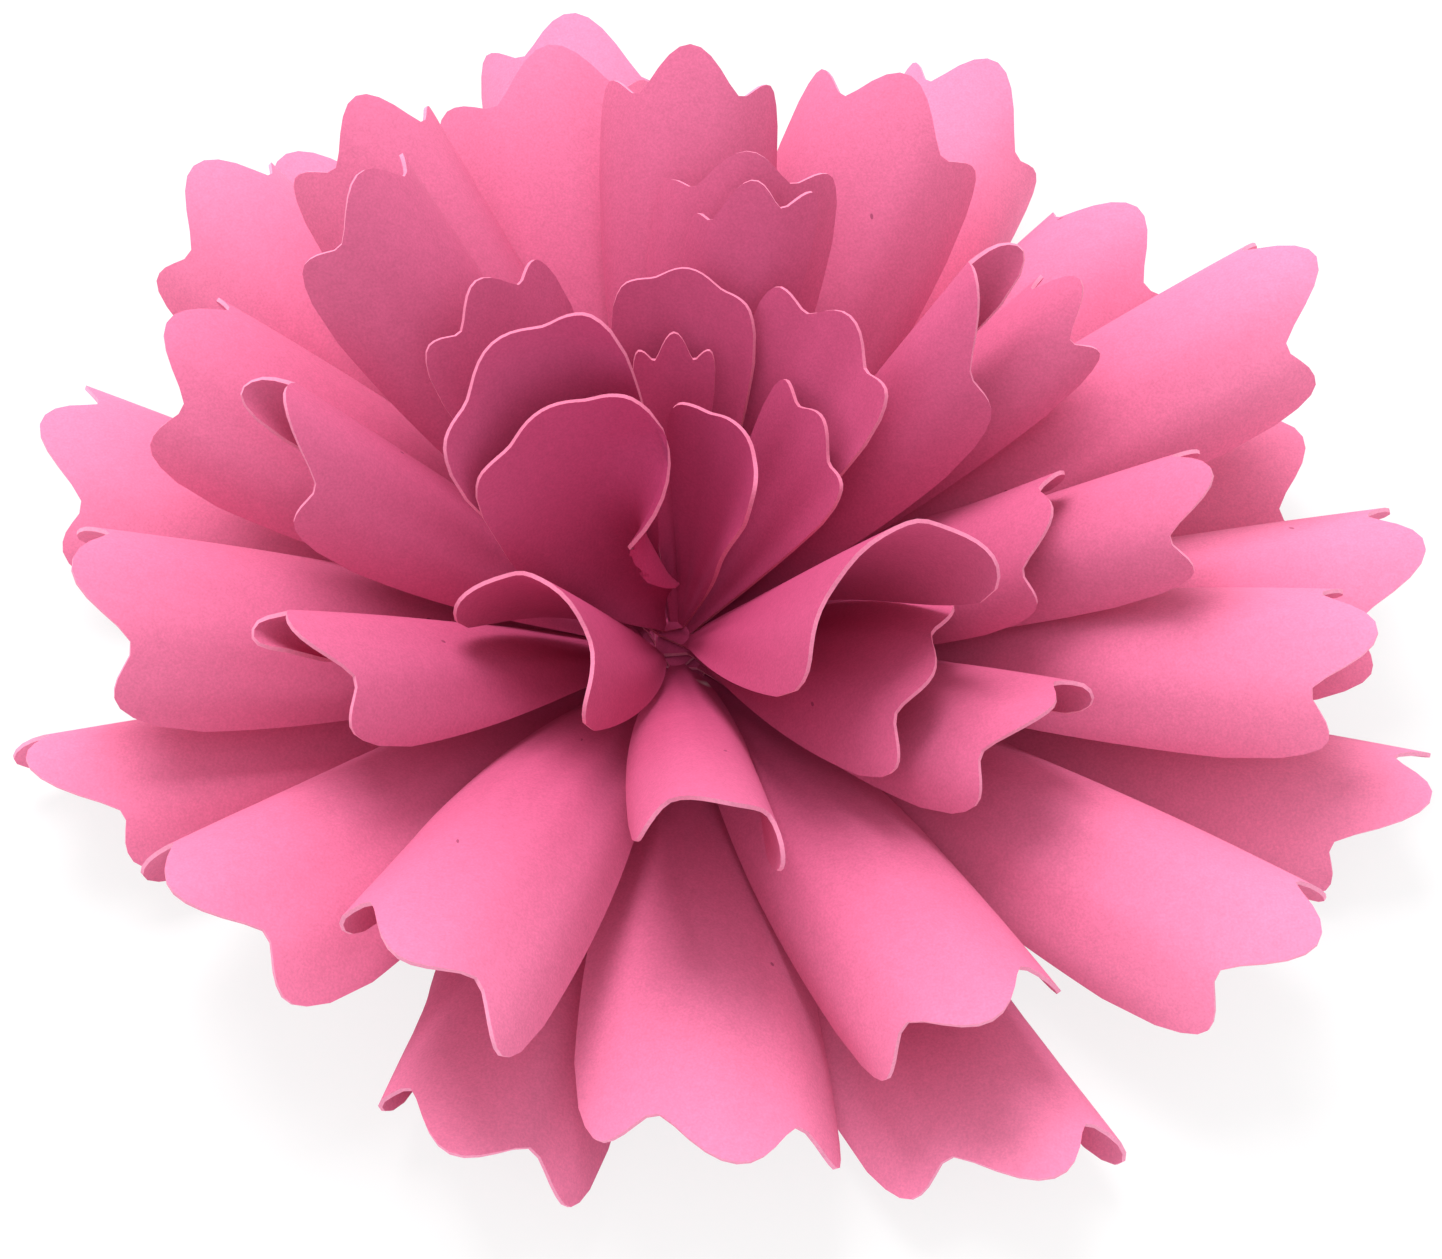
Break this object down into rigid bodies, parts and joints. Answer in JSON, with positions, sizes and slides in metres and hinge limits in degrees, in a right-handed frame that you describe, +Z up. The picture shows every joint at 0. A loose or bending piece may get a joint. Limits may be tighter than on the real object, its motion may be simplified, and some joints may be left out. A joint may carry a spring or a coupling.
{
  "type": "layered paper flower",
  "caption": "Round layered flower of stacked die-cut card sheets with curled, lobed petals that rise towards a cupped centre, glued at their hubs.",
  "frame": {"origin": "centre of the flat underside of the lowest hub, where the flower is glued down", "axes": "+Z up through the stack of hubs, away from the surface it lies on; -Y towards the viewer of the picture; +X to the viewer's right"},
  "size_m": [0.1372, 0.1312, 0.0449],
  "materials": {
    "pink_card": "matt, dyed through, fine fibrous grain, pale cut edges"
  },
  "bodies": {
    "root": {"sheet_1_lowest": "pink_card", "sheet_2": "pink_card", "sheet_3": "pink_card", "sheet_4": "pink_card", "sheet_5": "pink_card", "sheet_6": "pink_card", "sheet_7": "pink_card", "sheet_8_bud": "pink_card"}
  },
  "joints": []
}
